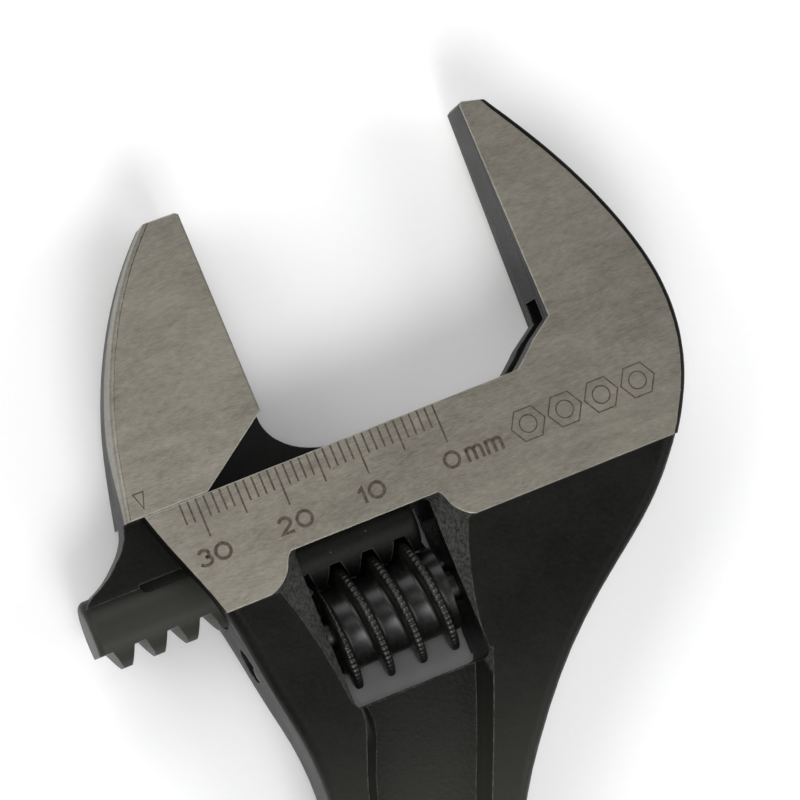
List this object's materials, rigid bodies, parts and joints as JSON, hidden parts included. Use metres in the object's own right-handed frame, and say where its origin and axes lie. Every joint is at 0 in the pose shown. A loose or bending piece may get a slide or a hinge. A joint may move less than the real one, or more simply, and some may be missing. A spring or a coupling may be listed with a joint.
{
  "type": "adjustable wrench",
  "caption": "Adjustable open-end wrench: forged handle and fixed jaw, sliding jaw on a rack, and a worm that opens and closes it; millimetre scale on the ground head.",
  "frame": {"origin": "on the axis of the hang hole at the handle's end, on the mid-plane of the wrench", "axes": "+Y along the handle towards the jaws, +Z through the thickness out of the face that carries the scale, +X across, towards the fixed jaw's outer side"},
  "size_m": [0.0706, 0.2553, 0.0166],
  "materials": {
    "phosphated_forging": "black phosphated steel forging with ground bright steel head faces",
    "ground_jaw": "ground bright steel jaw with blackened web and rack",
    "blackened_worm": "blackened steel with fine knurling on the crests",
    "pin_steel": "turned steel, lightly oiled",
    "spring_steel": "drawn spring wire"
  },
  "bodies": {
    "body": {"forged_body": "phosphated_forging", "worm_pin": "pin_steel", "worm_spring": "spring_steel"},
    "jaw": {"sliding_jaw": "ground_jaw"},
    "knurl": {"worm": "blackened_worm"}
  },
  "joints": [
    {"name": "jaw_slide", "type": "slide", "parent": "body", "child": "jaw", "axis": [0.9239, 0.3827, 0], "range_m": [0, 0.03595]},
    {"name": "worm_spin", "type": "hinge", "parent": "body", "child": "knurl", "pos_m": [-0.0052, 0.18153, 0], "axis": [0.9239, 0.3827, 0], "range_deg": [-3160, 0]}
  ],
  "couplings": [
    {"joint": "worm_spin", "follows": "jaw_slide", "rad_per_m": -1532.5}
  ]
}
